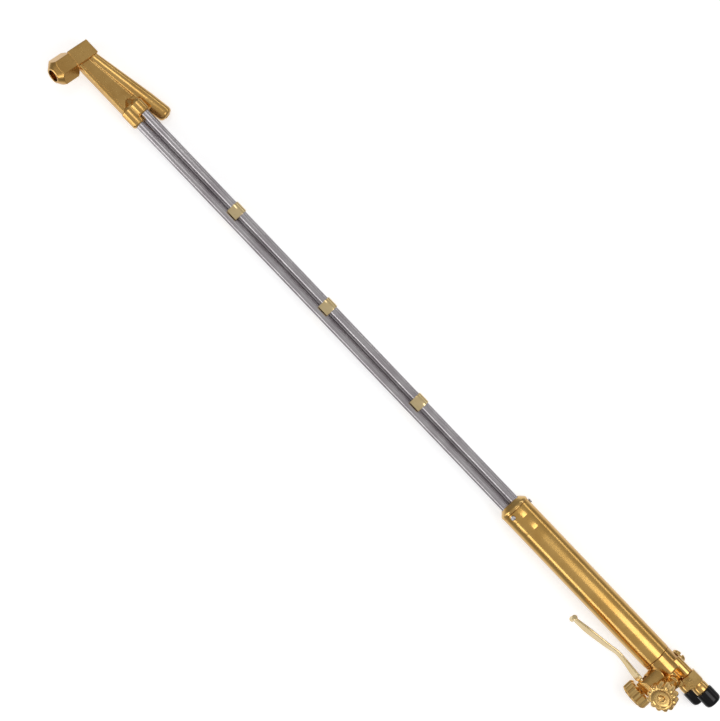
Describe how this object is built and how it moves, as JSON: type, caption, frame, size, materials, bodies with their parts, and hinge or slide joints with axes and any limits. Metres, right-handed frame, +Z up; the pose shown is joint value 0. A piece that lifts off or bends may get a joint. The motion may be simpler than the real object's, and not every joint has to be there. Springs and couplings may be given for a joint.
{
  "type": "oxy-fuel cutting torch",
  "caption": "Long oxy-fuel hand cutting torch with an angled brass head, slim steel gas tubes, a round brass handle, a squeeze lever, valve handwheels and capped hose inlets.",
  "frame": {"origin": "centre of the bounding box in plan, on the surface the torch lies on", "axes": "+X along the handle and tubes towards the cutting head, +Z up as the torch lies at rest, +Y towards the side the tip and the lever point to"},
  "size_m": [0.9098, 0.074, 0.0659],
  "materials": {
    "forged_brass": "forged and polished, clear lacquer",
    "turned_brass": "turned and polished, clear lacquer",
    "drawn_brass": "drawn tube, polished lengthwise",
    "lever_brass": "stamped and polished, paler",
    "stainless_steel": "drawn and brushed",
    "spring_steel": "spring wire",
    "packing": "white packing ring",
    "black_vinyl": "smooth soft vinyl"
  },
  "bodies": {
    "torch": {"torch_head": "forged_brass", "head_passage_plug": "turned_brass", "cutting_oxygen_tube": "stainless_steel", "preheat_oxygen_tube": "stainless_steel", "fuel_gas_tube": "stainless_steel", "tube_clip_front": "turned_brass", "tube_clip_middle": "turned_brass", "tube_clip_rear": "turned_brass", "handle_front_collar": "turned_brass", "handle_barrel": "drawn_brass", "collar_screw_1": "stainless_steel", "collar_screw_2": "stainless_steel", "collar_screw_3": "stainless_steel", "rear_body": "forged_brass", "cutting_valve_cap": "turned_brass", "cutting_valve_seat": "turned_brass", "cutting_valve_gland": "turned_brass", "cutting_valve_spring": "spring_steel", "oxygen_packing_nut": "turned_brass", "fuel_packing_nut": "turned_brass", "oxygen_stem_packing": "packing", "fuel_stem_packing": "packing", "oxygen_inlet_fitting": "turned_brass", "fuel_inlet_fitting": "turned_brass", "lever_pin": "stainless_steel"},
    "tip_nut": {"tip_nut": "forged_brass"},
    "lever": {"lever": "lever_brass"},
    "cutting_stem": {"cutting_valve_stem": "stainless_steel"},
    "oxygen_needle": {"oxygen_needle_stem": "stainless_steel"},
    "oxygen_wheel": {"oxygen_handwheel": "turned_brass", "oxygen_wheel_screw": "turned_brass"},
    "fuel_needle": {"fuel_needle_stem": "stainless_steel"},
    "fuel_wheel": {"fuel_handwheel": "turned_brass", "fuel_wheel_screw": "turned_brass"},
    "oxygen_cap": {"oxygen_inlet_cap": "black_vinyl"},
    "fuel_cap": {"fuel_inlet_cap": "black_vinyl"}
  },
  "joints": [
    {"name": "tip_nut_turn", "type": "hinge", "parent": "torch", "child": "tip_nut", "pos_m": [0.43972, 0.01361, 0.02663], "axis": [0.0895, 0.9087, 0.4077], "range_deg": [0, 720]},
    {"name": "lever_squeeze", "type": "hinge", "parent": "torch", "child": "lever", "pos_m": [-0.40943, 0.01598, 0.03259], "axis": [-0.0053, 0.4098, -0.9122], "range_deg": [0, 8], "stiffness_Nm_per_rad": 1, "springref_deg": -8.59},
    {"name": "cutting_stem_lift", "type": "slide", "parent": "torch", "child": "cutting_stem", "axis": [-0.0024, -0.9122, -0.4098], "range_m": [0, 0.0016], "deforming": ["cutting_valve_spring"]},
    {"name": "oxygen_needle_lift", "type": "slide", "parent": "torch", "child": "oxygen_needle", "axis": [-0.0008, 0.9907, -0.1359], "range_m": [0, 0.0015]},
    {"name": "oxygen_wheel_turn", "type": "hinge", "parent": "oxygen_needle", "child": "oxygen_wheel", "pos_m": [-0.39713, 0.02961, 0.0154], "axis": [-0.0008, 0.9907, -0.1359], "range_deg": [0, 545]},
    {"name": "fuel_needle_lift", "type": "slide", "parent": "torch", "child": "fuel_needle", "axis": [0.0048, 0.5564, 0.8309], "range_m": [0, 0.0015]},
    {"name": "fuel_wheel_turn", "type": "hinge", "parent": "fuel_needle", "child": "fuel_wheel", "pos_m": [-0.40971, 0.01224, 0.05415], "axis": [0.0048, 0.5564, 0.8309], "range_deg": [0, 545]},
    {"name": "oxygen_cap_pull", "type": "slide", "parent": "torch", "child": "oxygen_cap", "axis": [-1, 0, 0.0058], "range_m": [0, 0.02]},
    {"name": "fuel_cap_pull", "type": "slide", "parent": "torch", "child": "fuel_cap", "axis": [-1, 0, 0.0058], "range_m": [0, 0.02]}
  ],
  "couplings": [
    {"joint": "cutting_stem_lift", "follows": "lever_squeeze", "m_per_rad": 0.011},
    {"joint": "oxygen_wheel_turn", "follows": "oxygen_needle_lift", "rad_per_m": 6283.2},
    {"joint": "fuel_wheel_turn", "follows": "fuel_needle_lift", "rad_per_m": 6283.2}
  ]
}
